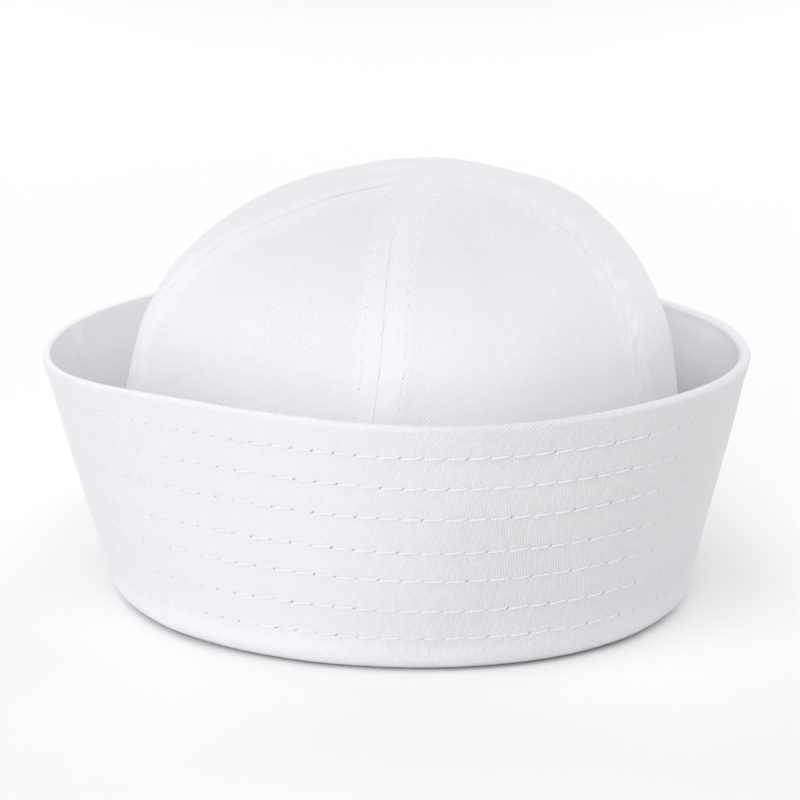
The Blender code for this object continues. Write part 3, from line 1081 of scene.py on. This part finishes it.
# Stitches
# Threads: thickness, height over the cloth, and how far a stitch slants
OUTER_THREAD = (0.00058, 0.00022, 0.00055)
INNER_THREAD = (0.00026, -0.00004, 0.00012)
CROWN_THREAD = (0.00022, -0.00004, 0.00010)
THREAD_STATIONS = 7
THREAD_SIDES = 6
THREAD_END_SINK = 0.00014
THREAD_END_GIRTH = 0.62
SLACK_SINK = 0.00056
INNER_SINK = 0.9
INNER_SINK_AZIMUTH = 20.0
INNER_SINK_WIDTH = 50.0
ROW_START = 3.0
ROW_SPARE = 0.020
ROW_END = 0.016


def thread_corners(field):
    """The values at the four corners of each face along and round each thread."""
    return np.stack([field[:, :-1, :-1], field[:, :-1, 1:], field[:, 1:, 1:], field[:, 1:, :-1]], axis=3)


def thread_run(starts, ends, middles, outward, thick, lift, slant):
    """One thread per stitch: a tube along a low arc from hole to hole, thinner and sunk at both ends."""
    t = np.linspace(0.0, 1.0, THREAD_STATIONS)[None, :, None]
    arc = (4.0 * t * (1.0 - t)) ** 0.5
    way = ends - starts
    way = way / np.linalg.norm(way, axis=-1, keepdims=True)
    across = np.cross(outward, way)
    across = across / np.linalg.norm(across, axis=-1, keepdims=True)
    sag = (middles - (starts + ends) / 2.0)[:, None] * (4.0 * t * (1.0 - t))
    line = starts[:, None] + (ends - starts)[:, None] * t + sag
    line = line + outward[:, None] * (lift * arc - THREAD_END_SINK * (1.0 - arc))
    line = line + across[:, None] * (slant * (t - 0.5))
    girth = thick / 2.0 * (THREAD_END_GIRTH + (1.0 - THREAD_END_GIRTH) * arc)
    angle = (2.0 * np.pi * np.arange(THREAD_SIDES) / THREAD_SIDES)[None, None, :, None]
    ring = outward[:, None, None] * np.cos(angle) + across[:, None, None] * np.sin(angle)
    points = line[:, :, None] + ring * girth[:, :, None]
    count = len(starts)
    index = np.arange(count * THREAD_STATIONS * THREAD_SIDES).reshape(count, THREAD_STATIONS, THREAD_SIDES)
    walls = thread_corners(np.concatenate([index, index[:, :, :1]], axis=2))
    caps = [index[:, end][:, quad] for end in (0, -1) for quad in ([0, 1, 2, 3], [0, 3, 4, 5])]
    faces = np.concatenate([walls.reshape(-1, 4)] + caps)
    around = np.linspace(0.0, 1.0, THREAD_SIDES + 1)[None, None]
    along = t * THREAD_SIDES + 0.0 * around + np.zeros((count, 1, 1))
    flat = thread_corners(np.stack([along, around + 0.0 * along], axis=-1)).reshape(-1, 4, 2)
    spare = np.zeros((len(faces) - len(flat), 4, 2))
    return points.reshape(-1, 3), faces, np.concatenate([flat, spare])


def stitch_piece(name, runs, slot):
    """Joins the runs of stitches into one piece."""
    points = []
    faces = []
    flats = []
    base = 0
    for run_points, run_faces, run_flat in runs:
        points.append(run_points)
        faces.append(run_faces + base)
        flats.append(run_flat)
        base += len(run_points)
    mesh = bpy.data.meshes.new(name)
    mesh.from_pydata(np.concatenate(points).tolist(), [], np.concatenate(faces).tolist())
    layer = mesh.uv_layers.new(name="cloth")
    layer.data.foreach_set("uv", np.concatenate(flats).astype(np.float32).ravel())
    work = bmesh.new()
    work.from_mesh(mesh)
    bmesh.ops.recalc_face_normals(work, faces=work.faces)
    work.to_mesh(mesh)
    work.free()
    mesh.shade_smooth()
    return put(name, mesh, THREAD, slot)


def brim_stitch_runs(inside):
    """Every row's stitches, from needle hole to needle hole, sunk where the rows are slack."""
    runs = []
    thick, lift, slant = INNER_THREAD if inside else OUTER_THREAD
    for number in range(len(ROW_SHARES)):
        count = stitches_round(number)
        step = 360.0 / count
        hole = (np.arange(count) - ROW_SHIFT * number) * step
        first, _ = on_wall(hole, row_share(number, hole), inside)
        last, _ = on_wall(hole + step, row_share(number, hole + step), inside)
        halfway = hole + step / 2.0
        middle, outward = on_wall(halfway, row_share(number, halfway), inside)
        pull = thread_pull(halfway)
        if inside:
            pull = pull * (1.0 - INNER_SINK * bump(turned(hole - INNER_SINK_AZIMUTH), INNER_SINK_WIDTH))
        sunk = lift - SLACK_SINK * (1.0 - pull[:, None, None])
        runs.append(thread_run(first, last, middle, outward, thick, sunk, slant))
    return runs


SEAM_ROWS = ((False, LEFT_BAND_STITCH, 0.0), (True, RIGHT_BAND_STITCH, RIGHT_ROW_START))


def crown_stitch_runs():
    """Two rows along each seam, one on the gore at each side of it."""
    runs = []
    for number in range(len(GORES)):
        _, up = gore_climbs(number)
        for from_right, off, start in SEAM_ROWS:
            count = int((up[-1] - ROW_SPARE) / CROWN_STITCH)
            hole = CROWN_STITCH * (np.arange(count) + ROW_START) - start
            hole = hole[hole + CROWN_STITCH < up[-1] - ROW_END]
            first, _ = on_gore(number, from_right, off, hole)
            last, _ = on_gore(number, from_right, off, hole + CROWN_STITCH)
            middle, outward = on_gore(number, from_right, off, hole + CROWN_STITCH / 2.0)
            runs.append(thread_run(first, last, middle, outward, *CROWN_THREAD))
    return runs


brim = brim_piece()
for number, name in enumerate(GORES):
    gore_piece(number, name)
outside_rows = stitch_piece("stitches_brim_outside", brim_stitch_runs(False), "brim_twill")
inside_rows = stitch_piece("stitches_brim_inside", brim_stitch_runs(True), "brim_twill")
stitch_piece("stitches_crown", crown_stitch_runs(), "crown_twill")


# Studio
FLOOR_RADIUS = 6.0
FLOOR_CORNERS = 96
FLOOR_WHITE = 0.93
CAMERA_PLACE = (0.0, -1.0165, 0.3219)
CAMERA_AIM = (-0.0018, 0.0, 0.0604)
CAMERA_LENS = 144.4
CAMERA_SENSOR = 36.0
ROOM_LIGHT = 0.30
SOFTBOX_AIM = (0.0, 0.0, 0.05)
SOFTBOX_DISTANCE = 2.2
SOFTBOX_WIDTH = 1.4
# Softboxes: azimuth from the camera's side, elevation, and watts
SOFTBOXES = (
    ("front_left_low", -60.0, 15.0, 6.5),
    ("front_low", -15.0, 20.0, 8.2),
    ("front_high", -15.0, 60.0, 18.7),
    ("right_front_high", 60.0, 55.0, 3.1),
    ("right_high", 90.0, 50.0, 4.5),
    ("right_low", 100.0, 20.0, 2.2),
    ("back", 180.0, 50.0, 2.1),
    ("back_right", 140.0, 25.0, 14.3),
    ("back_left", -140.0, 25.0, 15.6),
)


def studio_floor():
    """A pale disc far wider than the view."""
    mesh = bpy.data.meshes.new("studio_floor")
    turn = np.linspace(0.0, 2.0 * np.pi, FLOOR_CORNERS + 1)[:-1]
    ring = FLOOR_RADIUS * np.stack([np.cos(turn), np.sin(turn), 0.0 * turn], axis=-1)
    mesh.from_pydata(ring.tolist(), [], [list(range(FLOOR_CORNERS))])
    floor = bpy.data.objects.new("studio_floor", mesh)
    bpy.context.scene.collection.objects.link(floor)
    material, _, surface = new_material("studio_white")
    surface["Base Color"].default_value = (FLOOR_WHITE, FLOOR_WHITE, FLOOR_WHITE, 1.0)
    surface["Roughness"].default_value = 1.0
    surface["Specular IOR Level"].default_value = 0.0
    mesh.materials.append(material)


def aimed(name, data, place, aim):
    """A light or camera at a place, turned to face its aim."""
    thing = bpy.data.objects.new(name, data)
    thing.location = place
    thing.rotation_euler = (aim - place).to_track_quat("-Z", "Y").to_euler()
    bpy.context.scene.collection.objects.link(thing)
    return thing


def softbox(name, azimuth, elevation, power):
    """A square softbox round the cap, at SOFTBOX_DISTANCE from the middle of the floor."""
    across = np.radians(azimuth)
    up = np.radians(elevation)
    place = Vector((np.sin(across) * np.cos(up), -np.cos(across) * np.cos(up), np.sin(up)))
    data = bpy.data.lights.new(name, "AREA")
    data.shape = "SQUARE"
    data.size = SOFTBOX_WIDTH
    data.energy = power
    aimed(name, data, SOFTBOX_DISTANCE * place, Vector(SOFTBOX_AIM))


def studio():
    studio_floor()
    world = bpy.data.worlds.new("studio")
    world.use_nodes = True
    world.node_tree.nodes["Background"].inputs["Color"].default_value = (1.0, 1.0, 1.0, 1.0)
    world.node_tree.nodes["Background"].inputs["Strength"].default_value = ROOM_LIGHT
    bpy.context.scene.world = world
    for box in SOFTBOXES:
        softbox(*box)
    bpy.context.scene.view_settings.view_transform = "Standard"


def photograph_camera():
    """The camera that fits the outline, rim and seams of the photograph."""
    data = bpy.data.cameras.new("camera")
    data.sensor_width = CAMERA_SENSOR
    data.lens = CAMERA_LENS
    place = Vector(CAMERA_PLACE) - Vector(MIDDLE)
    bpy.context.scene.camera = aimed("camera", data, place, Vector(CAMERA_AIM) - Vector(MIDDLE))


studio()
photograph_camera()
